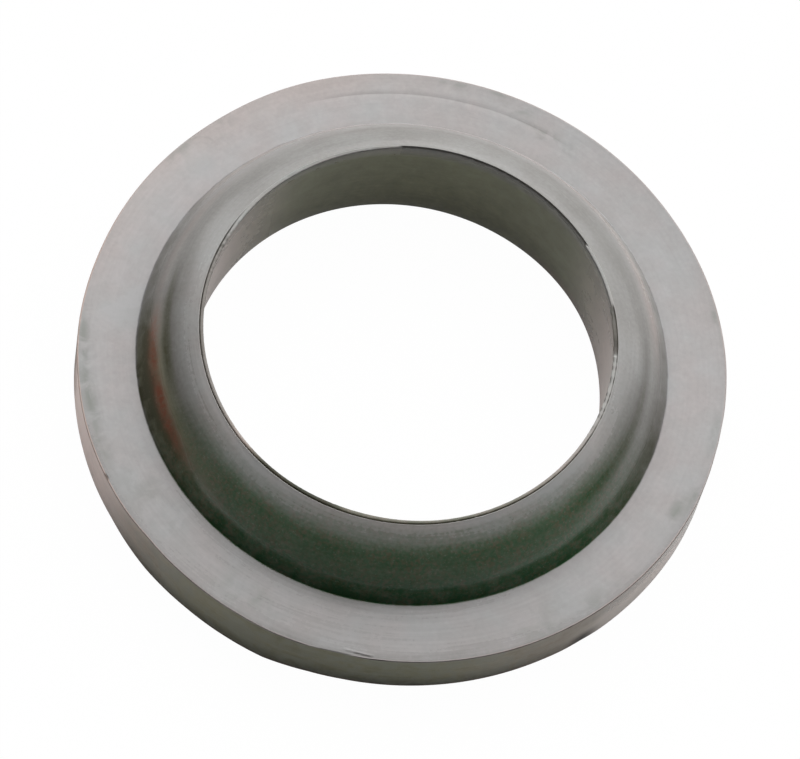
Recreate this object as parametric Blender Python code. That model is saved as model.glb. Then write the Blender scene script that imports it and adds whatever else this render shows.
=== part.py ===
"""A flanged rubber washer that seals a basin waste, moulded in one piece.

The washer lies on its flat underside. A level flange carries a domed collar, and one
straight bore runs through both. The section is drawn once, in a plane that holds the
axis, and turned about it. Lengths are in metres, +Z is up, and the origin is the middle
of the underside.
"""

import math

import bmesh
import bpy

# Driving dimensions
BORE_DIAMETER = 0.0420  # slides over the 41.91 mm thread of a G 1 1/4 waste tail
COLLAR_WALL = 0.00591  # from the bore out to the collar's root
COLLAR_HEIGHT = 0.00628  # above the flange's upper face
COLLAR_TURN = math.radians(39.0)  # how far the collar's round side turns from root to brim
FLANGE_WIDTH = 0.00594  # from the collar's root out to the rim
FLANGE_THICKNESS = 0.00662
ROOT_FILLET = 0.00015  # where the collar's side meets the flange's upper face
RIM_TOP_ROUND = 0.0001
RIM_BOTTOM_ROUND = 0.0002
BORE_BOTTOM_ROUND = 0.0002
FLASH_WIDTH = 0.00045  # the thin lip of moulding flash left inside the collar's brim
FLASH_THICKNESS = 0.0003

# How finely the round shapes are drawn
TURN_STEPS = 120
COLLAR_STEPS = 12
ROUND_STEPS = 3
SHARP_ANGLE = math.radians(32.0)

# The rubber, under its grey bloom
RUBBER_COLOR = (0.115, 0.112, 0.108, 1.0)
RUBBER_ROUGHNESS = 0.55

# Derived sizes
BORE_RADIUS = BORE_DIAMETER / 2
ROOT_RADIUS = BORE_RADIUS + COLLAR_WALL
RIM_RADIUS = ROOT_RADIUS + FLANGE_WIDTH
BRIM_HEIGHT = FLANGE_THICKNESS + COLLAR_HEIGHT
QUARTER_TURN = math.pi / 2


def clear_scene():
    for thing in list(bpy.data.objects):
        bpy.data.objects.remove(thing, do_unlink=True)


def arc(centre, radius, start, end, steps):
    """Points of a round stretch of the section, as (radius, height), both ends included."""
    points = []
    for step in range(steps + 1):
        angle = start + (end - start) * step / steps
        points.append((centre[0] + radius * math.cos(angle), centre[1] + radius * math.sin(angle)))
    return points


def rounded_corner(corner, radius, start):
    """A quarter round inside a square corner, begun at angle start and run anticlockwise.

    The round's middle lies on the corner's own diagonal, so that both its ends meet the faces.
    """
    middle = start + QUARTER_TURN / 2
    reach = radius * math.sqrt(2)
    centre = (corner[0] - reach * math.cos(middle), corner[1] - reach * math.sin(middle))
    return arc(centre, radius, start, start + QUARTER_TURN, ROUND_STEPS)


def collar_circle():
    """Centre and radius of the collar's round side, through its root and its brim."""
    chord = math.hypot(COLLAR_WALL, COLLAR_HEIGHT)
    radius = chord / (2 * math.sin(COLLAR_TURN / 2))
    drop = radius * math.cos(COLLAR_TURN / 2)
    outward = (COLLAR_HEIGHT / chord, COLLAR_WALL / chord)
    middle = (BORE_RADIUS + COLLAR_WALL / 2, FLANGE_THICKNESS + COLLAR_HEIGHT / 2)
    return (middle[0] - drop * outward[0], middle[1] - drop * outward[1]), radius


def collar_side():
    """The fillet on the flange and the collar's round side above it, up to the brim."""
    (centre_r, centre_z), radius = collar_circle()
    fillet_z = FLANGE_THICKNESS + ROOT_FILLET
    rise = fillet_z - centre_z
    fillet_r = centre_r + math.sqrt((radius + ROOT_FILLET) ** 2 - rise**2)
    meeting = math.atan2(rise, fillet_r - centre_r)
    brim = math.atan2(BRIM_HEIGHT - centre_z, BORE_RADIUS - centre_r)
    fillet = arc((fillet_r, fillet_z), ROOT_FILLET, -QUARTER_TURN, meeting - math.pi, ROUND_STEPS)
    side = arc((centre_r, centre_z), radius, meeting, brim, COLLAR_STEPS)
    return fillet + side[1:]


def flash_lip():
    """The lip's end and underside, from the brim back to the wall of the bore."""
    lip_radius = BORE_RADIUS - FLASH_WIDTH
    under = BRIM_HEIGHT - FLASH_THICKNESS
    return [(lip_radius, BRIM_HEIGHT), (lip_radius, under), (BORE_RADIUS, under)]


def section():
    """The whole outline, anticlockwise from the underside's outer edge."""
    rim_bottom = rounded_corner((RIM_RADIUS, 0.0), RIM_BOTTOM_ROUND, -QUARTER_TURN)
    rim_top = rounded_corner((RIM_RADIUS, FLANGE_THICKNESS), RIM_TOP_ROUND, 0.0)
    bore_bottom = rounded_corner((BORE_RADIUS, 0.0), BORE_BOTTOM_ROUND, math.pi)
    return rim_bottom + rim_top + collar_side() + flash_lip() + bore_bottom


def rubber():
    material = bpy.data.materials.new("moulded_black_rubber")
    material.use_nodes = True
    shader = material.node_tree.nodes["Principled BSDF"]
    shader.inputs["Base Color"].default_value = RUBBER_COLOR
    shader.inputs["Roughness"].default_value = RUBBER_ROUGHNESS
    shader.inputs["Metallic"].default_value = 0.0
    material.diffuse_color = RUBBER_COLOR
    return material


def turned_mesh(name, outline):
    """The outline turned once about +Z into a closed ring, with its faces outwards."""
    shape = bmesh.new()
    corners = [shape.verts.new((radius, 0.0, height)) for radius, height in outline]
    edges = []
    for index, corner in enumerate(corners):
        edges.append(shape.edges.new((corner, corners[(index + 1) % len(corners)])))
    bmesh.ops.spin(
        shape,
        geom=corners + edges,
        axis=(0.0, 0.0, 1.0),
        cent=(0.0, 0.0, 0.0),
        angle=math.tau,
        steps=TURN_STEPS,
        use_merge=True,
    )
    bmesh.ops.recalc_face_normals(shape, faces=shape.faces)
    mesh = bpy.data.meshes.new(name)
    shape.to_mesh(mesh)
    shape.free()
    mesh.shade_smooth()
    mesh.set_sharp_from_angle(angle=SHARP_ANGLE)
    return mesh


def add_washer():
    washer = bpy.data.objects.new("waste_washer", turned_mesh("waste_washer", section()))
    washer.data.materials.append(rubber())
    bpy.context.scene.collection.objects.link(washer)
    return washer


def main():
    clear_scene()
    add_washer()


main()
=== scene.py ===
"""Looks of a flanged rubber washer for a basin waste, lying on a white studio floor.

The washer is one fine turned mesh with its own marks in it: a torn lip of flash inside
the brim, a lifted sliver, a nick and a bite on the rim, a faint witness line round the far
side of the flange, a bore that leans, and a rim that isn't quite round.
Sizes here are in millimetres and angles round the washer in degrees, seen from above and
counted from +X; MM turns lengths to metres. The camera looks along +Y, so 270 is nearest.
"""

import math

import bpy
import numpy as np
from mathutils import Matrix, Vector


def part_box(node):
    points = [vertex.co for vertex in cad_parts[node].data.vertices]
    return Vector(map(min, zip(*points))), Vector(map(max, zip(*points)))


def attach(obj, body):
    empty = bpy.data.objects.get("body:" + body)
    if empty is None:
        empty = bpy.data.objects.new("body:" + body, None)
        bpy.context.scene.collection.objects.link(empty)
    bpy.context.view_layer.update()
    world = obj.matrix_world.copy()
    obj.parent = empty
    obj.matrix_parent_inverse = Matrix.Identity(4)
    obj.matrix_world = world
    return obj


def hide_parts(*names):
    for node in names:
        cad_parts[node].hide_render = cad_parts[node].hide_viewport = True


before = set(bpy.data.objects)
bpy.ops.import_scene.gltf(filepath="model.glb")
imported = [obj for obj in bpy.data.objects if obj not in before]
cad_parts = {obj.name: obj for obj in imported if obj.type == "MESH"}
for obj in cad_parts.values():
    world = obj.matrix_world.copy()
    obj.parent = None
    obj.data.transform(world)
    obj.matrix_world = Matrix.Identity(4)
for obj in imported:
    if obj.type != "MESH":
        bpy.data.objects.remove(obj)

MM = 0.001
QUARTER_TURN = math.pi / 2
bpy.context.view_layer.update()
CAD_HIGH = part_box("waste_washer")[1]

# The washer's own sizes, as in the solid model
RIM_RADIUS = CAD_HIGH.x / MM
BRIM_HEIGHT = CAD_HIGH.z / MM
BORE_RADIUS = 21.0
COLLAR_WALL = 5.91
FLANGE_THICKNESS = 6.62
COLLAR_TURN = math.radians(39.0)
ROOT_FILLET = 0.15
RIM_TOP_ROUND = 0.1
RIM_BOTTOM_ROUND = 0.2
BORE_BOTTOM_ROUND = 0.2
LIP_WIDTH = 0.45
ROOT_RADIUS = BORE_RADIUS + COLLAR_WALL
COLLAR_HEIGHT = BRIM_HEIGHT - FLANGE_THICKNESS

# Where the lip of flash survives, is torn, broken, level with the brim or joined to it
LIP_SURVIVES = (104.0, 367.5)
LIP_STUB = (22.0, 42.5)
LIP_FLUSH = (90.0, 158.0)
LIP_CHIPPED = (6.0, 23.0)
LIP_JOINS = (294.8, 299.9)
LIP_BEADS = (168.0, 178.0)
LIP_RAGGED = (100.0, 178.0)
LIP_DASHED = (343.0, 368.0)
LIP_WIDEST = 265.0
LIP_WIDTH_SHARES = (
    (104, 0.45), (112, 0.6), (125, 0.72), (136, 0.8), (146, 0.8), (156, 1.0), (60, 1.0),
)
CREST_INSET = 0.08  # the collar's round side stops this far outside the bore

# The rim's marks, and how far it is out of round above and below
RIM_SLIVER = (271.6, 276.4)
SLIVER_CRACK = (273.2, 276.4)
CRACK_MIDDLE = 273.4
CRACK_FROM_RIM = ((-1.8, 0.42), (0.0, 0.31), (2.9, 0.13))
SLIVER_LIFT = 0.07
CRACK_DEPTH = 0.1
RIDGE_FROM_CRACK = 0.12
RIDGE_WIDTH = 0.07
CRACK_WIDTH = 0.06
RIM_NICK = 217.8
NICK_REACH = 0.8
NICK_INWARDS = 0.12
NICK_DOWNWARDS = 0.06
RIM_BITE = 316.0
BITE_REACH = 3.6
BITE_INWARDS = 0.05
BITE_BARE_REACH = 4.4
BITE_BARE_HEIGHT = 2.4
FLAT_ON_RIM = (130.0, 181.0)
FLATTENING = 0.22
RIM_FULLNESS_ABOVE = (
    (198, 0.0), (207, 0.1), (222, 0.08), (226, 0.04), (231, -0.1), (242, -0.05), (252, 0.03),
    (259, 0.16), (275, 0.12), (300, 0.2), (345, 0.14), (356, 0.0), (14, 0.14), (30, 0.1), (44, 0.0),
)
RIM_FULLNESS_BELOW = (
    (214, 0.0), (221, -0.05), (232, 0.13), (242, 0.12), (250, 0.2), (258, 0.3), (266, 0.03),
    (272, -0.04), (296, -0.01), (308, 0.0), (318, 0.09), (340, 0.12), (356, 0.0), (14, 0.14),
    (30, 0.12), (44, 0.04), (54, 0.0),
)
WITNESS_LINE = (70.0, 118.0)
WITNESS_LINE_RADIUS = 30.45
WITNESS_LINE_DEPTH = 0.03
WITNESS_LINE_WIDTH = 0.06

# The bore opens downwards, leans, and is a little wide at one azimuth over some degrees
BORE_DRAFT = 0.10
BORE_LEAN = (-0.24, -0.25)
BORE_SWELLING = (42.0, 34.0, 0.2)

# How finely the mesh is drawn
AROUND = 960
AZIMUTHS = np.arange(AROUND) * math.tau / AROUND
RIM_ROWS = (0.7, 1.5, 2.6, 3.8, 4.9, 5.7, 6.15, 6.4)
CORNER_STEPS = 5
FILLET_STEPS = 4
COLLAR_STEPS = 24
BORE_STEPS = 6
UNDERSIDE_STEPS = 4
RIM_BAND = 0.8  # the outer part of the flange, where its rows lie close together
RIM_BAND_STEPS = 7
WITNESS_ROWS = (0.12, 0.04, -0.04, -0.12)
TO_WITNESS_STEPS = 2
TO_ROOT_STEPS = 4
ROOT_BAND = 0.05

# Names of the section's stretches that share a finish
BORE_STRETCHES = ("bore", "bore_bottom")
WALL_STRETCHES = ("rim", "rim_bottom")

# Sides of the washer, from one azimuth round to another
NEAR_HALF = (190.0, 350.0)
COLLAR_NEAR = (187.0, 350.0)
COLLAR_FAR = (20.0, 160.0)
BORE_FAR = (36.0, 146.0)
GREEN_SIDE = (225.0, 338.0)

# Bloom up the collar from root (0) to brim (1), on its near side, its two sides and its far side,
# with painted shade in front, painted light behind, and a painted reflected streak on the two sides
COLLAR_BLOOM_AND_SHADE_NEAR = (
    (0.0, 0.08), (0.15, 0.08), (0.25, 0.26), (0.36, 0.36), (0.58, 0.26), (0.84, 0.7), (1.0, 0.77),
)
COLLAR_BLOOM_AND_STREAK_SIDES = ((0.0, 0.3), (0.25, 0.37), (0.4, 0.5), (0.5, 0.39), (0.7, 0.6), (1.0, 0.76))
COLLAR_BLOOM_AND_LIGHT_FAR = (
    (0.0, 0.58), (0.125, 0.6), (0.25, 0.66), (0.375, 0.6), (0.5, 0.46), (0.625, 0.43),
    (0.75, 0.48), (0.875, 0.52), (1.0, 0.55),
)
BORE_BLOOM_UPWARDS = ((0.0, 0.9), (0.55, 0.92), (0.75, 0.66), (0.88, 0.5), (1.0, 0.7))

# Bloom by azimuth; the brim's is what it has more or less than the collar below it
BRIM_BLOOM = (
    (0, -0.1), (20, -0.15), (45, -0.1), (90, 0.0), (120, -0.08), (150, -0.11), (180, 0.03),
    (190, 0.08), (200, 0.03), (220, 0.08), (240, 0.12), (270, -0.02), (300, 0.07), (320, 0.07),
    (340, 0.2),
)
# The wall's bloom is highest on its grazing sides, a painted reflection, and lower in front, painted
# shade
WALL_BLOOM_AND_PAINTED_LIGHT = (
    (190, 0.1), (200, 1.1), (210, 1.0), (220, 0.9), (240, 0.78), (260, 0.52), (280, 0.56),
    (300, 0.78), (310, 0.78), (320, 1.0), (330, 1.05), (340, 1.0), (350, 0.5), (20, 0.6), (100, 0.6),
)
LIP_BLOOM = (
    (104, 0.95), (158, 0.95), (167, 0.5), (190, 0.42), (215, 0.55), (228, 0.65), (238, 0.08),
    (258, 0.1), (266, 0.26), (300, 0.32), (320, 0.5), (345, 0.95), (367, 1.0), (368, 0.4),
    (14, 0.3), (20, 0.3), (25, 0.95), (42, 1.0), (43, 0.32), (103, 0.32),
)
# The flange's bloom is lower in front: painted shade
FLANGE_BLOOM_AND_SHADE = (
    (0, 0.95), (30, 0.9), (45, 0.86), (90, 0.89), (120, 0.93), (180, 0.96), (210, 0.96),
    (240, 0.84), (270, 0.78), (300, 0.86), (330, 0.95),
)
# Painted shade of the collar on the flange beside its root, deepest in front
SHADE_BESIDE_ROOT = (
    (190, 0.0), (210, 0.06), (240, 0.22), (270, 0.44), (300, 0.18), (330, 0.05), (345, 0.0), (45, 0.08),
)
DARKENED_WIDTH = 0.9

# Casts, stains, a painted highlight and painted shade by azimuth
BORE_OLIVE = ((350, 0.2), (20, 0.3), (45, 0.9), (90, 1.0), (135, 1.0), (150, 0.6), (165, 0.2))
WALL_OLIVE = ((190, 0.1), (220, 0.5), (245, 1.0), (290, 1.0), (315, 0.5), (340, 0.2))
# The pale pink line low on the collar's far side is a painted highlight
PINK_HIGHLIGHT_SPAN = (12.0, 150.0)
PINK_HIGHLIGHT_HEIGHT = ((8, 0.3), (30, 0.27), (60, 0.16), (90, 0.1), (150, 0.1))
# On the wall's and the bore's grazing sides the pale pink is a painted reflection
WALL_EARTH_AND_SHEEN = (
    (190, 1.0), (218, 0.85), (240, 0.25), (285, 0.15), (305, 0.4), (335, 0.5), (350, 0.3),
    (20, 0.3), (150, 0.3), (176, 0.9),
)
BORE_EARTH_AND_SHEEN = (
    (350, 0.4), (20, 0.6), (48, 0.0), (130, 0.0), (160, 0.5), (176, 0.5), (200, 0.2), (330, 0.2),
)
LIP_EARTH = (
    (158, 0.0), (170, 0.15), (215, 0.2), (240, 0.8), (270, 0.5), (330, 0.4), (345, 0.0), (8, 0.0),
    (9, 0.15), (17, 0.15), (22, 0.0),
)
RUST_STREAK = 200.0
RUST_SMEAR = (187.0, 219.0)
FLANGE_STAIN = (98.0, 172.0)
STAIN_STARTS = 28.5  # the radius where the flange's stain begins
STAIN_FADES_IN = 4.5
# The lip's darker stretch in front is painted shade
LIP_DARK = (236.0, 262.0)
TORN_SPOT = 11.0
DARK_EDGE_SPOT = 277.6

# How much each point of the lip takes of a mark, from the brim's crest in to the bore
CREST_POINTS = (1, 1, 0.4, 0, 0, 0, 0, 0, 0, 0, 0)
SKIN_POINTS = (0.1, 0.1, 0.5, 1, 1, 1, 1, 1, 1, 1, 1)
GROOVE_POINTS = (0, 0.4, 1, 1, 0.4, 0, 0, 0.3, 0.5, 0.5, 0.2)
INNER_EDGE_POINTS = (0, 0, 0, 0, 0, 0, 0.1, 0.9, 1, 1, 0.3)
TORN_POINTS = (0, 0.6, 0.9, 0.8, 0.2, 0.1, 0, 0.3, 0.6, 0.5, 0.1)
ALL_LIP_POINTS = (0, 0.3, 1, 1, 1, 0.9, 0.9, 1, 1, 1, 0.6)
BOTH_SIDES_POINTS = (0, 0.3, 0.9, 0.9, 0.2, 0, 0.6, 1, 1, 0.8, 0.3)
RIM_TOP_POINTS = (0.1, 0.6, 0.9, 0.7, 0.1, 0.0)

# Dark smudges on the flange: azimuth, radius, length, width and strength
SMUDGES = (
    (92.2, 32.3, 1.6, 0.35, 0.7),
    (83.7, 32.5, 1.2, 0.3, 0.7),
    (79.2, 31.7, 1.5, 0.5, 0.7),
    (71.3, 30.1, 3.0, 0.8, 0.7),
    (23.2, 32.5, 1.0, 0.3, 0.7),
    (359.0, 32.3, 2.2, 0.35, 0.8),
    (346.0, 32.4, 1.4, 0.3, 0.8),
    (342.2, 31.5, 1.7, 0.6, 1.1),
    (252.0, 30.6, 2.6, 1.3, 0.8),
    (318.0, 32.0, 3.4, 0.8, 0.6),
    (308.0, 31.2, 3.0, 1.6, 0.5),
    (140.0, 31.6, 2.0, 0.9, 0.6),
    (146.0, 32.2, 3.0, 0.5, 0.5),
    (189.0, 32.3, 2.0, 0.5, 0.9),
    (196.5, 32.1, 3.0, 0.7, 0.9),
    (203.0, 31.9, 2.0, 0.6, 0.9),
    (210.8, 32.0, 3.0, 0.6, 0.8),
    (225.0, 30.0, 4.0, 1.8, 0.5),
)
SMUDGED_ALL_OVER = 0.12
SMUDGE_STRENGTH = 0.6

# Colours of the rubber where it is clean, under thin and thick bloom, and where it is marked
CLEAN_BLACK = "#3C3B28"
BOTTLE_GREEN = "#164A25"
BROWNED_GREEN = "#524A28"
THIN_BLOOM = "#706E6C"
THIN_OLIVE = "#6A6C50"
THIN_EARTH = "#7E685C"
THIN_GREEN = "#5A6D58"
THIN_GREEN_BROWNED = "#6C6A5A"
THICK_BLOOM_WARM = "#ACA6A6"
THICK_BLOOM_COOL = "#A4A4A5"
THICK_OLIVE = "#949878"
THICK_PINK = "#D0B7AE"
SMUDGE_GREY = "#72776F"
# Rust brown, which also paints the contact shade along the wall's foot
RUST_AND_SHADE_BROWN = "#6B3C27"
DUST_GREY = "#9A9D94"
# The bare black also paints shade in the groove, the crack, under the lip and along the rim's top edge
BARE_AND_SHADE_BLACK = "#2A261D"

# Patterns in the rubber's skin: size, detail and distortion. A pixel is about 0.1 mm here. The
# mould's grain and turning lines, the brown specks and the dust are finer than that on the
# real washer, and are drawn two to four pixels wide so that they show.
PATTERNS = {
    "patches": (5.0, 3.0, 0.0),
    "clouds": (1.8, 5.0, 0.6),
    "grain": (0.4, 3.0, 0.0),
    "specks": (0.34, 2.0, 0.0),
    "lines": (0.3, 3.0, 0.0),
    "dust": (0.2, 1.0, 0.0),
}
DRAWN_OUT = 0.035  # the lines change this slowly along the turning direction
NOISE_MIDDLE = 0.5

# How much the patterns move the bloom
GRAIN_ON_GREEN = 0.16
GRAIN_EVERYWHERE = 0.18
PATCHINESS = 0.26
MOTTLING = 0.7

# Ranges that carry a pattern or mask: from low and high, to low and high
THIN_SHOWS = (0.0, 0.4, 0.0, 1.0)
THICK_SHOWS = (0.4, 1.0, 0.0, 1.0)
SPECKS_SHOW = (0.42, 0.6, 0.0, 1.0)
SPECKS_IN_CLOUDS = (0.35, 0.6, 0.25, 1.0)
BROWNING = (0.1, 0.6, 0.5, 1.3)
WARM_TO_COOL = (0.35, 0.65, 0.0, 1.0)
SMUDGE_CLOUDS = (0.4, 0.58, 0.2, 1.0)
RUST_CLOUDS = (0.36, 0.52, 0.75, 1.0)
RUST_GRAIN = (0.25, 0.6, 0.6, 1.1)
DUST_SHOWS = (0.66, 0.74, 0.0, 1.0)
DUST_ON_GREEN = (0.0, 1.0, 0.08, 0.2)

# Sheen and relief of the rubber: its index is typical of rubber, the rest is matched
RUBBER_IOR = 1.52
CLEAN_TO_BLOOMED_ROUGHNESS = (0.0, 1.0, 0.2, 0.3)
DULL_ROUGHNESS = 0.5
POLISHED_TO_DULL_GLOSS = (0.0, 1.0, 0.5, 0.22)
COVERED_TO_BARE_AND_SHADED_GLOSS = (0.0, 1.0, 1.0, 0.2)
POLISHED_TO_DULL_RELIEF = (0.0, 1.0, 1.0, 0.2)
GRAIN_IN_RELIEF = 0.6
RELIEF_DEPTH = 0.012

# Kinds of node that are used again and again, and what they are set to
MATHS = "ShaderNodeMath"
RANGE = "ShaderNodeMapRange"
MIX = "ShaderNodeMix"
TIMES = {"operation": "MULTIPLY"}
PLUS = {"operation": "ADD"}
MINUS = {"operation": "SUBTRACT"}
TIMES_PLUS = {"operation": "MULTIPLY_ADD"}
SQUARE_ROOT = {"operation": "SQRT"}
LARGER = {"operation": "MAXIMUM"}
SMALLER = {"operation": "MINIMUM", "use_clamp": True}
COLOURS = {"data_type": "RGBA"}
SHARE, UNDER, OVER, MIXED = 0, 6, 7, 2  # sockets of a mix of two colours

# The photograph's camera, found from the edges of the flange, collar and bore
PHOTO_WIDTH_PX = 800
PHOTO_HEIGHT_PX = 759
FLANGE_CENTRE_PX = (403.07, 359.24)
FOCAL_LENGTH_PX = 5208.8
SENSOR_WIDTH_MM = 36.0
CAMERA_DISTANCE = 524.9
CAMERA_ELEVATION = math.radians(63.58)
CAMERA_ROLL = math.radians(13.15)
NEAREST_SEEN = 10.0
FARTHEST_SEEN = 10000.0

# One wide soft lamp low behind the washer, and next to no light from the camera's side
KEY_AZIMUTH = math.radians(87.0)
KEY_ELEVATION = math.radians(28.0)
KEY_SOFTNESS = math.radians(114.0)
KEY_STRENGTH = 5.8
ROOM_LEVEL = 0.02

# The floor, a little below the washer so that the two don't share a face
FLOOR_RADIUS = 1500.0
FLOOR_SIDES = 64
FLOOR_DROP = 0.02
FLOOR_WHITE = "#FAFAFA"
FLOOR_GLOW_WHITE = "#FFFFFF"
FLOOR_ROUGHNESS = 0.9
FLOOR_GLOW = 0.985
FLOOR_GLOW_REFLECTED = 0.35


def linear(hex_colour):
    """An sRGB hex colour as a linear RGBA colour."""
    values = [int(hex_colour[start:start + 2], 16) / 255 for start in (1, 3, 5)]
    return (*(v / 12.92 if v <= 0.04045 else ((v + 0.055) / 1.055) ** 2.4 for v in values), 1.0)


def add(tree, kind, settings=None, inputs=(), output=0):
    """Adds a node with its settings, gives its inputs values or links, and returns an output."""
    node = tree.nodes.new(kind)
    for name, value in (settings or {}).items():
        setattr(node, name, value)
    for key, value in inputs.items() if isinstance(inputs, dict) else enumerate(inputs):
        if isinstance(value, bpy.types.NodeSocket):
            tree.links.new(value, node.inputs[key])
        else:
            node.inputs[key].default_value = value
    return node.outputs[output]


# Waves and masks around the washer, one value for each azimuth

def smooth(share):
    """0 up to 0, 1 from 1, and an easy curve between them."""
    share = np.clip(share, 0.0, 1.0)
    return share * share * (3.0 - 2.0 * share)


def hump(distance, width):
    """1 on a line, and next to nothing past twice a width from it."""
    return np.exp(-((distance / width) ** 2))


def apart(azimuth):
    """How far each azimuth of the mesh lies from one azimuth, in degrees, from -180 to 180."""
    turn = AZIMUTHS - math.radians(azimuth)
    return np.degrees(np.arctan2(np.sin(turn), np.cos(turn)))


def bell(azimuth, reach):
    """1 at one azimuth, and little left past a reach in degrees to either side."""
    return np.exp(-((1.5 * apart(azimuth) / reach) ** 2))


def span(start, end, blend):
    """1 from one azimuth round to another, with ends that blend over some degrees."""
    half = (end - start) / 2
    return smooth((half - np.abs(apart(start + half))) / blend + 0.5)


def around(pairs):
    """A value at each named azimuth, carried evenly from each to the next."""
    places, values = zip(*pairs)
    return np.interp(np.degrees(AZIMUTHS), places, values, period=360.0)


def along(place, pairs):
    """A value at each named place, carried evenly from each to the next and held at the ends."""
    places, values = zip(*pairs)
    return np.interp(place, places, values)


def wander(slowest, fastest, seed):
    """A seamless random wave between -1 and 1, made of slowest to fastest swings a turn."""
    random = np.random.default_rng(seed)
    swings = np.arange(slowest, fastest + 1)
    phases = random.uniform(0.0, math.tau, len(swings))
    sizes = random.normal(0.0, 1.0, len(swings))
    wave = (sizes[:, None] * np.sin(swings[:, None] * AZIMUTHS + phases[:, None])).sum(axis=0)
    return wave / np.abs(wave).max()


# The section, as rows of (radius, height) points

def arc(centre, radius, start, end, steps):
    """Points of a round stretch of the section, both ends included."""
    turns = np.linspace(start, end, steps + 1)
    return np.stack([centre[0] + radius * np.cos(turns), centre[1] + radius * np.sin(turns)], axis=1)


def line(start, end, steps):
    """Points evenly spaced between two points of the section, without those two."""
    shares = np.arange(1, steps + 1)[:, None] / (steps + 1)
    return np.asarray(start) * (1 - shares) + np.asarray(end) * shares


def rounded_corner(corner, radius, start):
    """A quarter round inside a square corner, begun at angle start and run anticlockwise."""
    middle = start + QUARTER_TURN / 2
    reach = radius * math.sqrt(2)
    centre = (corner[0] - reach * math.cos(middle), corner[1] - reach * math.sin(middle))
    return arc(centre, radius, start, start + QUARTER_TURN, CORNER_STEPS)


def collar_circle():
    """Centre and radius of the collar's round side, through its root and its brim."""
    chord = math.hypot(COLLAR_WALL, COLLAR_HEIGHT)
    radius = chord / (2 * math.sin(COLLAR_TURN / 2))
    drop = radius * math.cos(COLLAR_TURN / 2)
    middle = (BORE_RADIUS + COLLAR_WALL / 2, FLANGE_THICKNESS + COLLAR_HEIGHT / 2)
    centre = (middle[0] - drop * COLLAR_HEIGHT / chord, middle[1] - drop * COLLAR_WALL / chord)
    return centre, radius


def collar_side():
    """The fillet on the flange, and the round side above it to just short of the brim's crest."""
    centre, radius = collar_circle()
    fillet_z = FLANGE_THICKNESS + ROOT_FILLET
    rise = fillet_z - centre[1]
    fillet_r = centre[0] + math.sqrt((radius + ROOT_FILLET) ** 2 - rise**2)
    meeting = math.atan2(rise, fillet_r - centre[0])
    crest_r = BORE_RADIUS + CREST_INSET - centre[0]
    brim = math.acos(crest_r / radius)
    fillet = arc((fillet_r, fillet_z), ROOT_FILLET, -QUARTER_TURN, meeting - math.pi, FILLET_STEPS)
    return fillet, arc(centre, radius, meeting, brim, COLLAR_STEPS)[1:]


def flange_line(outer, inner):
    """Points across the flange: close together by the rim and at the witness line."""
    edge = (outer[0] - RIM_BAND, outer[1])
    witness = [(WITNESS_LINE_RADIUS + step, outer[1]) for step in WITNESS_ROWS]
    beside_root = (inner[0] + ROOT_BAND, inner[1])
    by_rim = line(outer, edge, RIM_BAND_STEPS)
    to_witness = line(edge, witness[0], TO_WITNESS_STEPS)
    to_root = line(witness[-1], beside_root, TO_ROOT_STEPS)
    return np.concatenate([by_rim, [edge], to_witness, witness, to_root, [beside_root]])


def steady(points):
    """The same points at every azimuth: an array of point by azimuth by (radius, height)."""
    return np.repeat(np.asarray(points, dtype=float)[:, None, :], AROUND, axis=1)


def varied(*points):
    """Points whose radius or height may vary with azimuth, as an array like steady's."""
    grid = [[np.broadcast_to(part, AROUND) for part in point] for point in points]
    return np.moveaxis(np.array(grid), 1, 2)


def lip_kept():
    """1 where the lip of flash is still there, and 0 where it has torn away."""
    return span(*LIP_SURVIVES, 1.0) + span(*LIP_STUB, 2.0)


def lip_flush():
    """Where the lip lies level with the brim, with no groove between them."""
    return np.maximum(span(*LIP_FLUSH, 14.0), span(*LIP_STUB, 2.0))


def whole_lip():
    """Points over the brim's crest, the groove and the lip, counted from the bore at brim height."""
    flush = lip_flush()
    grooved = (1 - bell(LIP_JOINS[0], 0.5) - bell(LIP_JOINS[1], 0.6)) * (1 - flush)
    grooved = grooved * (1 - 0.7 * span(*LIP_DASHED, 8.0))
    deeper = 0.2 * span(*LIP_STUB, 6.0)
    beads = span(*LIP_BEADS, 2.0) * wander(150, 260, 8)
    ragged = 0.012 + 0.05 * span(*LIP_RAGGED, 8.0) * (1 - 0.7 * flush)
    width = LIP_WIDTH - 0.02 + ragged * wander(20, 300, 1) + 0.1 * bell(LIP_WIDEST, 25.0)
    width = width * (1 - 0.4 * span(*LIP_STUB, 2.0)) * around(LIP_WIDTH_SHARES)
    drop = 0.015 + ragged * (1 + wander(30, 340, 2)) + 0.03 * beads
    groove = 0.04 - 0.025 * flush + (0.16 + 0.03 * wander(10, 90, 3)) * grooved
    return varied(
        (0.03, 0.0),
        (0.0, -0.03 * grooved - 0.01),
        (-0.03, -groove),
        (-0.08, -groove),
        (-0.12, -drop - 0.03 * grooved),
        (-0.16, -drop),
        (0.05 - width, -drop - 0.01),
        (-width, -drop - 0.07),
        (0.01 - width, -drop - 0.16 - 0.04 * flush - deeper),
        (-0.4 * width, -0.32 - deeper),
        (0.0, -0.45 - deeper),
    )


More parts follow.
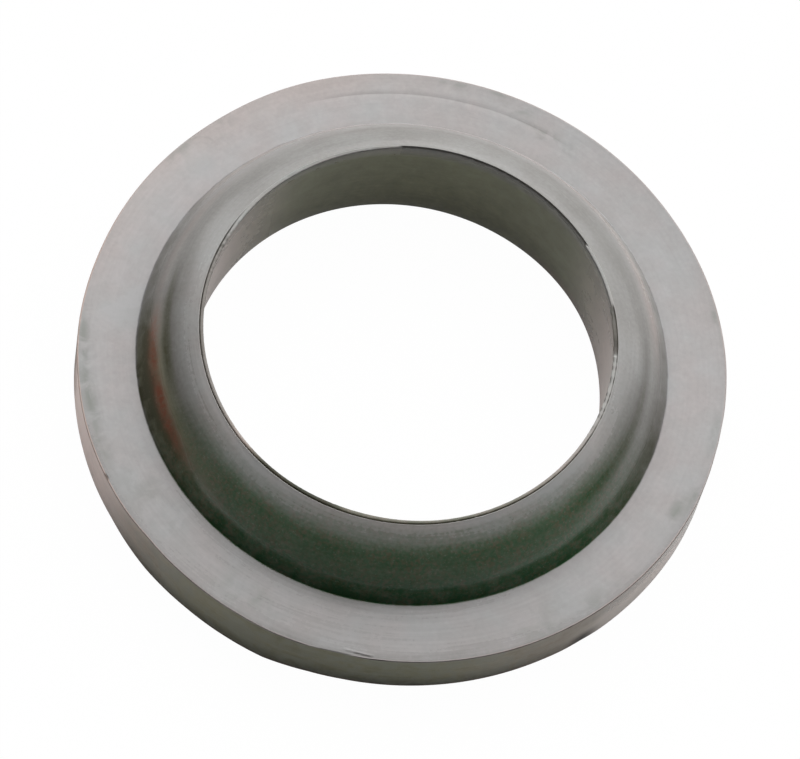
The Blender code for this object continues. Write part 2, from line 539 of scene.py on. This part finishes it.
def torn_lip():
    """Points like whole_lip's where the lip has torn away: a low step, and a stub by the chip."""
    chipped = span(*LIP_CHIPPED, 5.0)
    chip = 0.36 * chipped * (1 + 0.12 * wander(20, 120, 4))
    stub = 0.05 + chip + 0.03 * (1 + wander(15, 150, 5))
    return varied(
        (0.03, 0.0),
        (0.01, -0.04),
        (0.0, -0.09),
        (-0.01, -0.15),
        (-0.25 * stub, -0.18),
        (-0.5 * stub, -0.20 + 0.03 * wander(30, 200, 6)),
        (-0.9 * stub, -0.22 + 0.03 * wander(30, 200, 7)),
        (-stub, -0.27),
        (-0.95 * stub, -0.33),
        (-0.4 * stub, -0.39),
        (0.0, -0.45),
    )


def brim_and_lip():
    """The brim's crest, the groove inside it, and the lip of flash or what is left of it."""
    kept = lip_kept()[None, :, None]
    return kept * whole_lip() + (1 - kept) * torn_lip() + (BORE_RADIUS, BRIM_HEIGHT)


def washer_section():
    """The outline's named stretches, anticlockwise from the underside's outer edge."""
    rim_bottom = rounded_corner((RIM_RADIUS, 0.0), RIM_BOTTOM_ROUND, -QUARTER_TURN)
    rim_top = rounded_corner((RIM_RADIUS, FLANGE_THICKNESS), RIM_TOP_ROUND, 0.0)
    fillet, collar = collar_side()
    bore_bottom = rounded_corner((BORE_RADIUS, 0.0), BORE_BOTTOM_ROUND, math.pi)
    lip = brim_and_lip()
    stretches = {
        "rim_bottom": steady(rim_bottom),
        "rim": steady([(RIM_RADIUS, height) for height in RIM_ROWS]),
        "rim_top": steady(rim_top),
        "flange": steady(flange_line(rim_top[-1], fillet[0])),
        "fillet": steady(fillet),
        "collar": steady(collar),
        "lip": lip,
        "bore": steady(line(lip[-1, 0], bore_bottom[0], BORE_STEPS)),
        "bore_bottom": steady(bore_bottom),
        "underside": steady(line(bore_bottom[-1], rim_bottom[0], UNDERSIDE_STEPS)),
    }
    shape_rim(stretches)
    mark_rim(stretches)
    lean_bore(stretches)
    return stretches


def shape_rim(stretches):
    """Takes the rim out of round, flattened on one side and a little full elsewhere, in its box."""
    flattening = FLATTENING * span(*FLAT_ON_RIM, 24.0)
    above, below = around(RIM_FULLNESS_ABOVE), around(RIM_FULLNESS_BELOW)
    nearest_side = np.maximum(np.abs(np.cos(AZIMUTHS)), np.abs(np.sin(AZIMUTHS)))
    widest = RIM_RADIUS / nearest_side
    for name in ("rim_bottom", "rim", "rim_top", "flange"):
        radii, heights = stretches[name][:, :, 0], stretches[name][:, :, 1]
        outwards = np.clip((radii - ROOT_RADIUS) / (RIM_RADIUS - ROOT_RADIUS), 0.0, 1.0)
        fullness = below + (above - below) * heights / FLANGE_THICKNESS
        radii[:] = np.minimum(radii + (fullness - flattening) * outwards, widest)


def mark_rim(stretches):
    """Nicks and bites the rim's edges, lifts a sliver on the flange and sinks the witness line."""
    stretches["rim_top"][:, :, 0] -= NICK_INWARDS * bell(RIM_NICK, NICK_REACH)
    stretches["rim_top"][:, :, 1] -= NICK_DOWNWARDS * bell(RIM_NICK, NICK_REACH)
    stretches["rim_bottom"][:, :, 0] -= BITE_INWARDS * bell(RIM_BITE, BITE_REACH)
    flange = stretches["flange"]
    ridge, crack = sliver_lines(flange)
    flange[:, :, 1] += SLIVER_LIFT * ridge - CRACK_DEPTH * crack
    witness = WITNESS_LINE_DEPTH * span(*WITNESS_LINE, 12.0)
    flange[:, :, 1] -= witness * hump(flange[:, :, 0] - WITNESS_LINE_RADIUS, WITNESS_LINE_WIDTH)


def sliver_lines(flange):
    """Where the sliver's lifted ridge and the crack beside it run, closer and closer to the rim."""
    from_rim = flange[0, :, 0] + RIM_TOP_ROUND - flange[:, :, 0]
    crack_line = along(apart(CRACK_MIDDLE), CRACK_FROM_RIM)
    ridge = span(*RIM_SLIVER, 0.8) * hump(from_rim - crack_line - RIDGE_FROM_CRACK, RIDGE_WIDTH)
    crack = span(*SLIVER_CRACK, 0.6) * hump(from_rim - crack_line, CRACK_WIDTH)
    return ridge, crack


def lean_bore(stretches):
    """Opens the bore a little downwards and leans it, as it came out of the mould."""
    azimuth, reach, swelling = BORE_SWELLING
    lean = BORE_LEAN[0] * np.cos(AZIMUTHS) + BORE_LEAN[1] * np.sin(AZIMUTHS)
    lean = lean + swelling * bell(azimuth, reach)
    for name in BORE_STRETCHES:
        points = stretches[name]
        depth = 1 - points[:, :, 1] / BRIM_HEIGHT
        points[:, :, 0] += depth * (BORE_DRAFT + lean)


# What the rubber looks like at each point of the mesh, for the material

def share_along(points):
    """How far along its stretch each row of points lies, from 0 to 1."""
    return np.linspace(0.0, 1.0, len(points))[:, None]


def by_point(weights):
    """One weight for each row of points, set to multiply a value for each azimuth."""
    return np.array(weights)[:, None]


def pink_highlight_line(share):
    """The pale pink line that runs round the far side of the collar, low down: a painted highlight."""
    return span(*PINK_HIGHLIGHT_SPAN, 20.0) * hump(share - around(PINK_HIGHLIGHT_HEIGHT), 0.1)


def collar_bloom_and_painted_light(share):
    """Bloom up the collar with painted light and shade: least low in front, more behind, and a painted
    streak on both sides.
    """
    share = share + 0.018 * wander(12, 90, 16) * (1 - smooth((share - 0.3) / 0.2))
    near = span(*COLLAR_NEAR, 34.0)
    far = span(*COLLAR_FAR, 40.0)
    side_cover = (1 - far) * along(share, COLLAR_BLOOM_AND_STREAK_SIDES) + far * along(share, COLLAR_BLOOM_AND_LIGHT_FAR)
    cover = near * along(share, COLLAR_BLOOM_AND_SHADE_NEAR) + (1 - near) * side_cover
    streak_dark_bands = 0.26 * span(176.0, 204.0, 12.0) + 0.16 * span(325.0, 372.0, 20.0)
    cover = cover - streak_dark_bands * hump(share - 0.53, 0.06)
    cover = cover - 0.24 * span(186.0, 222.0, 14.0) * hump(share - 0.2, 0.09)
    cover = cover + 0.09 * bell(230.0, 18.0) * (1 - smooth((share - 0.25) / 0.15))
    cover = cover + 0.2 * span(200.0, 345.0, 20.0) * smooth((share - 0.88) / 0.1)
    cover = cover + around(BRIM_BLOOM) * smooth((share - 0.65) / 0.22) + 0.08 * pink_highlight_line(share)
    return cover + 0.08 * bell(22.0, 24.0) * (1 - smooth((share - 0.45) / 0.2))


def fillet_bloom_and_painted_light(share):
    """Bloom that stops crisply at the collar's root on the near side; it is higher on the far side,
    painted light as on the collar.
    """
    near = span(*NEAR_HALF, 30.0)
    crisp = smooth(share * 1.4)
    return (1 - crisp) * (0.95 - 0.3 * near) + crisp * (0.08 + 0.52 * (1 - near))


def bore_bloom_and_shade(height):
    """Bloom down the bore, thinner on its far wall and thinnest at that wall's foot, painted shade
    there.
    """
    far = span(*BORE_FAR, 60.0)
    return far * (0.37 + 0.48 * height) + (1 - far) * along(height, BORE_BLOOM_UPWARDS)


def wall_bloom_and_painted_light(height):
    """Bloom on the rim's wall: painted shade darkens its foot in front, and a light line lies below its
    top.
    """
    painted_foot_shade = 0.6 * span(224.0, 310.0, 20.0)
    darker_top = 0.5 * span(314.0, 346.0, 14.0) * smooth((height - 0.4) / 0.4)
    light_line = 0.25 * span(192.0, 232.0, 10.0) * smooth((height - 0.84) / 0.06)
    return around(WALL_BLOOM_AND_PAINTED_LIGHT) * (1 - painted_foot_shade * (1 - smooth(height * 2.5)) - darker_top + light_line)


def flat_bloom_and_shade(name, radii, ridge):
    """Bloom on the flange and the underside: lower in front and beside the collar's root, painted
    shade, and darker towards the rim.
    """
    bloom = around(FLANGE_BLOOM_AND_SHADE)
    if name == "flange":
        bloom = bloom + 0.3 * ridge
    beside_root = around(SHADE_BESIDE_ROOT) * hump(radii - ROOT_RADIUS, DARKENED_WIDTH)
    beside_rim = (0.08 + 0.2 * span(203.0, 350.0, 16.0)) * np.exp(-(RIM_RADIUS - radii) / DARKENED_WIDTH)
    return bloom - beside_root - beside_rim


def bloom_and_painted_light_cover(name, points):
    """How much of the clean rubber is hidden by grey bloom, with painted light and shade in the amount.
    """
    share = share_along(points)
    radii, heights = points[:, :, 0], points[:, :, 1]
    if name == "collar":
        return collar_bloom_and_painted_light(share)
    if name == "fillet":
        return fillet_bloom_and_painted_light(share)
    if name in BORE_STRETCHES:
        return bore_bloom_and_shade(heights / BRIM_HEIGHT)
    if name in WALL_STRETCHES:
        return wall_bloom_and_painted_light(np.clip(heights / FLANGE_THICKNESS, 0.0, 1.0))
    if name == "rim_top":
        return 0.5 + 0.4 * share
    if name == "lip":
        crest = by_point(CREST_POINTS) * (0.95 - 0.1 * span(*NEAR_HALF, 30.0))
        return np.maximum(around(LIP_BLOOM), crest)
    return flat_bloom_and_shade(name, radii, sliver_lines(points)[0])


def green_cast(name, points):
    """On the near side of the collar, where it lies in shade, the rubber is tinted bottle green:
    painted shade.
    """
    strength = {"collar": 1.0, "fillet": 1.0, "lip": 0.3}.get(name, 0.0)
    return strength * span(*GREEN_SIDE, 44.0)


def olive_cast(name, points):
    """Where thin bloom looks olive, a painted shade tint: on the bore's far wall and the near side of
    the rim's wall.
    """
    if name in BORE_STRETCHES:
        return around(BORE_OLIVE)
    if name in WALL_STRETCHES:
        return around(WALL_OLIVE)
    if name == "collar":
        return 0.08 + 0.6 * span(190.0, 238.0, 20.0) * (1 - smooth((share_along(points) - 0.4) / 0.25))
    return 0.15 if name == "lip" else 0.0


def earthy_stain_and_sheen(name, points):
    """Where dust and handling have left the bloom pinkish brown; on the grazing sides of the wall and
    the bore it is a painted reflection.
    """
    if name in WALL_STRETCHES or name == "rim_top":
        return around(WALL_EARTH_AND_SHEEN)
    if name in BORE_STRETCHES:
        return around(BORE_EARTH_AND_SHEEN)
    if name == "lip":
        return around(LIP_EARTH) * by_point(SKIN_POINTS)
    if name == "fillet":
        return 0.0
    if name == "collar":
        return 0.24 * pink_highlight_line(share_along(points))
    outer = smooth((points[:, :, 0] - STAIN_STARTS) / STAIN_FADES_IN)
    return 0.04 + 0.26 * outer * span(*FLANGE_STAIN, 50.0)


def bare_and_shaded_lip():
    """Dark in the groove, at the lip's inner edge and on the lip in front, all painted shade; dark
    dashes; fresh dark rubber where the lip is torn.
    """
    kept = lip_kept()
    flush = lip_flush()
    broken = 0.75 + 0.25 * wander(60, 220, 9)
    fading = 1 - 0.6 * span(*LIP_DASHED, 8.0) - 0.25 * span(225.0, 290.0, 20.0)
    groove = by_point(GROOVE_POINTS) * fading
    inner_edge = by_point(INNER_EDGE_POINTS) * (0.85 + 0.15 * wander(40, 200, 10))
    torn = by_point(TORN_POINTS) * (1 - 0.5 * span(*LIP_CHIPPED, 5.0))
    all_lip = by_point(ALL_LIP_POINTS)
    spot = 0.6 * bell(TORN_SPOT, 4.0) * all_lip
    dark_lip = 0.68 * span(*LIP_DARK, 8.0) * all_lip
    dashes = smooth(0.5 + 2 * wander(60, 160, 15))
    dashes = 0.9 * span(*LIP_DASHED, 6.0) * by_point(BOTH_SIDES_POINTS) * dashes
    whole = ((1 - flush) * groove + flush * inner_edge) * broken
    whole = np.maximum(np.maximum(whole, dark_lip), dashes)
    return kept * whole + (1 - kept) * np.maximum(torn * 0.7 * broken, spot)


def bare_and_shaded_patches(name, points):
    """Dark marks: on the lip; a painted shade line along the rim's top edge; at the bite; painted shade
    in the crack; the witness line.
    """
    if name == "lip":
        return bare_and_shaded_lip()
    if name == "rim_top":
        edge = by_point(RIM_TOP_POINTS)
        shaded_edge = edge * span(205.0, 345.0, 20.0) * (0.8 + 0.2 * wander(40, 160, 11))
        return (shaded_edge + edge * bell(DARK_EDGE_SPOT, 2.0)) * (1 - 0.6 * span(190.0, 262.0, 20.0))
    if name == "rim_bottom":
        return bell(RIM_BITE, BITE_BARE_REACH)
    if name == "rim":
        return bell(RIM_BITE, BITE_BARE_REACH) * np.exp(-((points[:, :, 1] / BITE_BARE_HEIGHT) ** 4))
    if name == "flange":
        witness = hump(points[:, :, 0] - WITNESS_LINE_RADIUS, 0.09) * (1 + wander(4, 30, 12))
        return 0.7 * sliver_lines(points)[1] + 0.1 * span(*WITNESS_LINE, 18.0) * witness
    return 0.0


def rust_smear_and_foot_shade(name, points):
    """A rusty smear along the collar's flank on the left, a brown band of painted contact shade at the
    wall's foot in front, and a thin brown line at the bore's lower edge.
    """
    if name == "rim_bottom":
        return 0.5 * span(186.0, 312.0, 20.0)
    if name == "bore_bottom":
        return 0.6 * span(340.0, 420.0, 20.0)
    if name != "collar":
        return 0.0
    middle = 0.315 - 0.0012 * apart(RUST_STREAK) + 0.012 * wander(8, 40, 13)
    smear = 0.95 * span(*RUST_SMEAR, 12.0) * (0.9 + 0.25 * wander(6, 60, 14))
    trail = 0.15 * span(150.0, 190.0, 24.0) + 0.3 * span(208.0, 232.0, 16.0)
    return (smear + trail) * hump(share_along(points) - middle, 0.088)


def dark_smudges(name, points):
    """Where greenish-grey clouds lie in the bloom: low on the flange all over, plain at some spots."""
    if name == "rim":
        return 0.5 * span(222.0, 312.0, 24.0)
    if name not in ("flange", "rim_top"):
        return 0.0
    smudges = np.full(points.shape[:2], SMUDGED_ALL_OVER)
    for azimuth, radius, length, width, strength in SMUDGES:
        lengthwise = np.radians(apart(azimuth)) * radius / length
        widthwise = (points[:, :, 0] - radius) / width
        smudges += SMUDGE_STRENGTH * strength * np.exp(-(lengthwise**2) - widthwise**2)
    return smudges


def brush_marks(name, points):
    """How plainly the fine lines that run round the washer show."""
    marks = {"flange": 0.14, "collar": 0.14, "bore": 0.16, "rim": 0.3}.get(name, 0.05)
    if name == "flange":
        return marks + 0.26 * span(235.0, 305.0, 30.0)
    if name == "collar":
        upper = smooth((share_along(points) - 0.7) * 4)
        return marks + 0.2 * upper * span(200.0, 340.0, 40.0)
    return marks


def dullness(name, points):
    """How dull the skin is: most on the rim's wall and at the collar's foot, least on flat faces."""
    if name == "lip":
        return 0.5 * (1 - lip_flush())
    if name in BORE_STRETCHES:
        return 0.35 + 0.3 * span(35.0, 145.0, 40.0)
    if name in WALL_STRETCHES:
        return 1 - 0.6 * span(318.0, 350.0, 14.0) - 0.3 * span(196.0, 224.0, 10.0)
    if name == "collar":
        reach = 0.14 + 0.2 * span(190.0, 224.0, 16.0) + 0.02 * wander(12, 90, 16)
        near = 0.7 + 0.3 * span(*NEAR_HALF, 40.0)
        return (1 - smooth((share_along(points) - reach) / 0.14)) * near
    return {"rim_top": 0.6, "fillet": 1.0}.get(name, 0.0)


# Each mask gives one value for a stretch, one for each azimuth, or one for each of its points
MASKS = {
    # The bloom mask carries painted light and shade as well as bloom
    "bloom": bloom_and_painted_light_cover,
    "green": green_cast,
    "olive": olive_cast,
    "earth_and_sheen": earthy_stain_and_sheen,
    "bare_and_shade": bare_and_shaded_patches,
    "rust_and_foot_shade": rust_smear_and_foot_shade,
    "smudge": dark_smudges,
    "brushed": brush_marks,
    "dull": dullness,
}


def washer_mesh():
    """The section turned once about +Z into a closed mesh that carries the masks."""
    stretches = washer_section()
    grid = np.concatenate(list(stretches.values()))
    radii, heights = grid[:, :, 0], grid[:, :, 1]
    places = np.stack([radii * np.cos(AZIMUTHS), radii * np.sin(AZIMUTHS), heights], axis=2)
    index = np.arange(places.shape[0] * AROUND).reshape(-1, AROUND)
    beside = np.roll(index, -1, axis=1)
    above = np.roll(index, -1, axis=0)
    faces = np.stack([index, beside, np.roll(beside, -1, axis=0), above], axis=2)
    mesh = bpy.data.meshes.new("moulded_washer")
    mesh.from_pydata((places.reshape(-1, 3) * MM).tolist(), [], faces.reshape(-1, 4).tolist())
    for title, mask in MASKS.items():
        parts = [np.broadcast_to(mask(*item), item[1].shape[:2]) for item in stretches.items()]
        attribute = mesh.attributes.new(title, "FLOAT", "POINT")
        attribute.data.foreach_set("value", np.concatenate(parts).ravel().astype(np.float32))
    mesh.shade_smooth()
    return mesh


# The rubber, layer by layer

def turned_place(tree, place):
    """A place drawn out along the turning direction, for marks that run round the washer."""
    x, y, z = (add(tree, "ShaderNodeSeparateXYZ", inputs=(place,), output=axis) for axis in "XYZ")
    x_squared = add(tree, MATHS, TIMES, (x, x))
    y_squared = add(tree, MATHS, TIMES, (y, y))
    radius = add(tree, MATHS, SQUARE_ROOT, (add(tree, MATHS, PLUS, (x_squared, y_squared)),))
    across = add(tree, MATHS, MINUS, (radius, z))
    slow_x = add(tree, MATHS, TIMES, (x, DRAWN_OUT))
    slow_y = add(tree, MATHS, TIMES, (y, DRAWN_OUT))
    return add(tree, "ShaderNodeCombineXYZ", inputs=(slow_x, slow_y, across))


def skin_patterns(tree):
    """The patterns in the rubber's skin, each at its own size; the lines run round the washer."""
    place = add(tree, "ShaderNodeTexCoord", output="Object")
    places = {"lines": turned_place(tree, place)}
    patterns = {}
    for title, (size, detail, distortion) in PATTERNS.items():
        inputs = {
            "Vector": places.get(title, place),
            "Scale": 1 / (size * MM),
            "Detail": detail,
            "Distortion": distortion,
        }
        patterns[title] = add(tree, "ShaderNodeTexNoise", inputs=inputs, output="Fac")
    return patterns


def grey_bloom(tree, mask, pattern):
    """How thick the bloom is, painted light and shade included, and the brushed streaks in it.

    Wax and dust risen to the skin give the eye a soft grey veil, patchy, grained and mottled.
    """
    centred = {
        title: add(tree, MATHS, MINUS, (pattern[title], NOISE_MIDDLE))
        for title in ("grain", "clouds", "lines")
    }
    graininess = add(tree, MATHS, TIMES_PLUS, (mask["green"], GRAIN_ON_GREEN, GRAIN_EVERYWHERE))
    grained = add(tree, MATHS, TIMES, (centred["grain"], graininess))
    patchy = add(tree, MATHS, TIMES_PLUS, (pattern["patches"], PATCHINESS, -PATCHINESS / 2))
    clouded = add(tree, MATHS, TIMES, (centred["clouds"], mask["dull"]))
    mottled = add(tree, MATHS, TIMES, (clouded, MOTTLING))
    streaks = add(tree, MATHS, TIMES, (centred["lines"], mask["brushed"]))
    unevenness = grained
    for part in (patchy, mottled, streaks):
        unevenness = add(tree, MATHS, PLUS, (unevenness, part))
    return add(tree, MATHS, PLUS, (mask["bloom"], unevenness)), streaks


def clean_rubber(tree, mask, specks):
    """Rubber without bloom: brownish black, and bottle green with brown specks on the near collar, the
    green a painted shade tint.
    """
    browning = add(tree, RANGE, inputs=(mask["olive"], *BROWNING))
    browned = add(tree, MATHS, TIMES, (specks, browning))
    green_colours = {SHARE: browned, UNDER: linear(BOTTLE_GREEN), OVER: linear(BROWNED_GREEN)}
    green = add(tree, MIX, COLOURS, green_colours, MIXED)
    colours = {SHARE: mask["green"], UNDER: linear(CLEAN_BLACK), OVER: green}
    return add(tree, MIX, COLOURS, colours, MIXED)


def thin_bloom(tree, mask, specks):
    """Bloom that the rubber shows through: grey, with olive, earthy and green casts."""
    green_colours = {SHARE: specks, UNDER: linear(THIN_GREEN), OVER: linear(THIN_GREEN_BROWNED)}
    green = add(tree, MIX, COLOURS, green_colours, MIXED)
    casts = (("olive", linear(THIN_OLIVE)), ("earth_and_sheen", linear(THIN_EARTH)), ("green", green))
    colour = linear(THIN_BLOOM)
    for title, cast in casts:
        colour = add(tree, MIX, COLOURS, {SHARE: mask[title], UNDER: colour, OVER: cast}, MIXED)
    return colour


def thick_bloom(tree, mask, pattern):
    """Bloom that hides the rubber: pale grey in warm and cool patches, with olive and pink casts."""
    patches = add(tree, RANGE, inputs=(pattern["patches"], *WARM_TO_COOL))
    greys = {SHARE: patches, UNDER: linear(THICK_BLOOM_WARM), OVER: linear(THICK_BLOOM_COOL)}
    colour = add(tree, MIX, COLOURS, greys, MIXED)
    for title, cast in (("olive", linear(THICK_OLIVE)), ("earth_and_sheen", linear(THICK_PINK))):
        colour = add(tree, MIX, COLOURS, {SHARE: mask[title], UNDER: colour, OVER: cast}, MIXED)
    return colour


def bloomed_rubber(tree, mask, pattern, cover):
    """Clean rubber, thin bloom and thick bloom, as the cover grows."""
    specks = add(tree, RANGE, inputs=(pattern["specks"], *SPECKS_SHOW))
    in_clouds = add(tree, RANGE, inputs=(pattern["clouds"], *SPECKS_IN_CLOUDS))
    specks = add(tree, MATHS, TIMES, (specks, in_clouds))
    colour = clean_rubber(tree, mask, specks)
    blooms = (
        (THIN_SHOWS, thin_bloom(tree, mask, specks)),
        (THICK_SHOWS, thick_bloom(tree, mask, pattern)),
    )
    for shows, bloom in blooms:
        share = add(tree, RANGE, inputs=(cover, *shows))
        colour = add(tree, MIX, COLOURS, {SHARE: share, UNDER: colour, OVER: bloom}, MIXED)
    return colour


def soiled_rubbed_and_shaded(tree, mask, pattern, colour):
    """Smudges, rust and dust lie on the bloom, a brown band of painted shade along the wall's foot in
    front, and black where the rubber is broken and as painted shade.
    """
    clouds = add(tree, RANGE, inputs=(pattern["clouds"], *SMUDGE_CLOUDS))
    smudged = add(tree, MATHS, TIMES, (mask["smudge"], clouds))
    rust_clouds = add(tree, RANGE, inputs=(pattern["clouds"], *RUST_CLOUDS))
    rust_grain = add(tree, RANGE, inputs=(pattern["grain"], *RUST_GRAIN))
    rust_and_shade_share = add(tree, MATHS, TIMES, (mask["rust_and_foot_shade"], rust_clouds))
    rust_and_shade_share = add(tree, MATHS, TIMES, (rust_and_shade_share, rust_grain))
    rust_and_shade_share = add(tree, MATHS, SMALLER, (rust_and_shade_share, 1.0))
    motes = add(tree, RANGE, inputs=(pattern["dust"], *DUST_SHOWS))
    settled = add(tree, RANGE, inputs=(mask["green"], *DUST_ON_GREEN))
    dusted = add(tree, MATHS, TIMES, (motes, settled))
    layers = (
        (smudged, SMUDGE_GREY),
        (rust_and_shade_share, RUST_AND_SHADE_BROWN),
        (dusted, DUST_GREY),
        (mask["bare_and_shade"], BARE_AND_SHADE_BLACK),
    )
    for share, layer in layers:
        colour = add(tree, MIX, COLOURS, {SHARE: share, UNDER: colour, OVER: linear(layer)}, MIXED)
    return colour


def sheen(tree, mask, cover):
    """Roughness and gloss: a soft semi-matt sheen that fades where the skin is dull or bare, and where
    shade is painted.
    """
    bloomed = add(tree, RANGE, inputs=(cover, *CLEAN_TO_BLOOMED_ROUGHNESS))
    dulled = add(tree, MATHS, TIMES, (mask["dull"], DULL_ROUGHNESS))
    roughness = add(tree, MATHS, LARGER, (bloomed, dulled))
    gloss = add(tree, RANGE, inputs=(mask["dull"], *POLISHED_TO_DULL_GLOSS))
    bare_and_shade = add(tree, RANGE, inputs=(mask["bare_and_shade"], *COVERED_TO_BARE_AND_SHADED_GLOSS))
    return roughness, add(tree, MATHS, TIMES, (gloss, bare_and_shade))


def fine_relief(tree, mask, pattern, streaks):
    """Grain and turning lines copied from the mould's steel, a hundredth of a millimetre deep."""
    grain = add(tree, MATHS, TIMES, (pattern["grain"], GRAIN_IN_RELIEF))
    relief = add(tree, MATHS, PLUS, (grain, streaks))
    faded = add(tree, RANGE, inputs=(mask["dull"], *POLISHED_TO_DULL_RELIEF))
    relief = add(tree, MATHS, TIMES, (relief, faded))
    inputs = {"Strength": 1.0, "Distance": RELIEF_DEPTH * MM, "Height": relief}
    return add(tree, "ShaderNodeBump", inputs=inputs)


def moulded_rubber():
    """Black rubber, pressed and cured in a polished steel mould.

    It gives the eye a smooth, semi-matt skin that copies the steel's fine lines, nearly black
    where it is clean and grey where bloom has risen to it.
    """
    material = bpy.data.materials.new("compression_moulded_black_rubber")
    material.use_nodes = True
    tree = material.node_tree
    shader = tree.nodes["Principled BSDF"]
    mask = {
        title: add(tree, "ShaderNodeAttribute", {"attribute_name": title}, output="Fac")
        for title in MASKS
    }
    pattern = skin_patterns(tree)
    cover, streaks = grey_bloom(tree, mask, pattern)
    colour = bloomed_rubber(tree, mask, pattern, cover)
    colour = soiled_rubbed_and_shaded(tree, mask, pattern, colour)
    roughness, gloss = sheen(tree, mask, cover)
    tree.links.new(colour, shader.inputs["Base Color"])
    tree.links.new(roughness, shader.inputs["Roughness"])
    tree.links.new(gloss, shader.inputs["Specular IOR Level"])
    tree.links.new(fine_relief(tree, mask, pattern, streaks), shader.inputs["Normal"])
    shader.inputs["IOR"].default_value = RUBBER_IOR
    return material


def add_washer():
    washer = bpy.data.objects.new("moulded_washer", washer_mesh())
    washer.data.materials.append(moulded_rubber())
    bpy.context.scene.collection.objects.link(washer)
    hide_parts("waste_washer")
    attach(washer, "root")


# The studio

def floor_paint():
    """Matt white paint: plain white and without gloss, with the washer's shadow pale on it.

    What sees it straight on or in a reflection finds it partly lit from within.
    """
    material = bpy.data.materials.new("matt_white_floor_paint")
    material.use_nodes = True
    tree = material.node_tree
    paint = tree.nodes["Principled BSDF"]
    paint.inputs["Base Color"].default_value = linear(FLOOR_WHITE)
    paint.inputs["Roughness"].default_value = FLOOR_ROUGHNESS
    paint.inputs["Specular IOR Level"].default_value = 0.0
    glow_inputs = {"Color": linear(FLOOR_GLOW_WHITE), "Strength": 1.0}
    glow = add(tree, "ShaderNodeEmission", inputs=glow_inputs)
    seen, mirrored, through = (
        add(tree, "ShaderNodeLightPath", output=ray)
        for ray in ("Is Camera Ray", "Is Glossy Ray", "Is Transmission Ray")
    )
    reflected = add(tree, MATHS, LARGER, (mirrored, through))
    share = add(tree, MATHS, TIMES, (reflected, FLOOR_GLOW_REFLECTED))
    share = add(tree, MATHS, TIMES_PLUS, (seen, FLOOR_GLOW, share))
    both = add(tree, "ShaderNodeMixShader", inputs=(share, paint.outputs[0], glow))
    tree.links.new(both, tree.nodes["Material Output"].inputs["Surface"])
    return material


def studio_floor():
    mesh = bpy.data.meshes.new("studio_floor")
    turns = [side * math.tau / FLOOR_SIDES for side in range(FLOOR_SIDES)]
    ring = [(FLOOR_RADIUS * MM * math.cos(t), FLOOR_RADIUS * MM * math.sin(t), 0.0) for t in turns]
    mesh.from_pydata(ring, [], [list(range(FLOOR_SIDES))])
    mesh.materials.append(floor_paint())
    floor = bpy.data.objects.new("studio_floor", mesh)
    bpy.context.scene.collection.objects.link(floor)
    floor.location.z = -FLOOR_DROP * MM


def studio_light():
    """The lamp behind the washer, and a nearly dark room around it."""
    key = bpy.data.objects.new("key_light", bpy.data.lights.new("key_light", "SUN"))
    key.data.energy = KEY_STRENGTH
    key.data.angle = KEY_SOFTNESS
    level = math.cos(KEY_ELEVATION)
    across, deep = math.cos(KEY_AZIMUTH) * level, math.sin(KEY_AZIMUTH) * level
    towards = Vector((across, deep, math.sin(KEY_ELEVATION)))
    key.rotation_mode = "QUATERNION"
    key.rotation_quaternion = towards.to_track_quat("Z", "Y")
    bpy.context.scene.collection.objects.link(key)
    world = bpy.data.worlds.new("studio_room")
    world.use_nodes = True
    background = world.node_tree.nodes["Background"]
    background.inputs["Color"].default_value = (ROOM_LEVEL, ROOM_LEVEL, ROOM_LEVEL, 1.0)
    background.inputs["Strength"].default_value = 1.0
    bpy.context.scene.world = world


def photo_camera():
    """The photograph's camera: it looks along +Y and down, and is rolled a little."""
    camera = bpy.data.objects.new("photo_camera", bpy.data.cameras.new("photo_camera"))
    camera.data.sensor_width = SENSOR_WIDTH_MM
    camera.data.lens = FOCAL_LENGTH_PX * SENSOR_WIDTH_MM / PHOTO_WIDTH_PX
    back = Vector((0.0, -math.cos(CAMERA_ELEVATION), math.sin(CAMERA_ELEVATION)))
    upright = back.to_track_quat("Z", "Y")
    roll = Matrix.Rotation(CAMERA_ROLL, 3, "Z").to_quaternion()
    turned = upright @ roll
    flange_centre = Vector((0.0, 0.0, FLANGE_THICKNESS))
    pixel = CAMERA_DISTANCE / FOCAL_LENGTH_PX
    right_px = FLANGE_CENTRE_PX[0] - PHOTO_WIDTH_PX / 2
    up_px = PHOTO_HEIGHT_PX / 2 - FLANGE_CENTRE_PX[1]
    aim = flange_centre - turned @ Vector((right_px, up_px, 0.0)) * pixel
    place = flange_centre + back * CAMERA_DISTANCE
    camera.location = place * MM
    camera.rotation_mode = "QUATERNION"
    camera.rotation_quaternion = (place - aim).to_track_quat("Z", "Y") @ roll
    camera.data.clip_start = NEAREST_SEEN * MM
    camera.data.clip_end = FARTHEST_SEEN * MM
    bpy.context.scene.collection.objects.link(camera)
    bpy.context.scene.camera = camera


photo_camera()
studio_floor()
studio_light()
add_washer()
bpy.context.scene.view_settings.view_transform = "Standard"
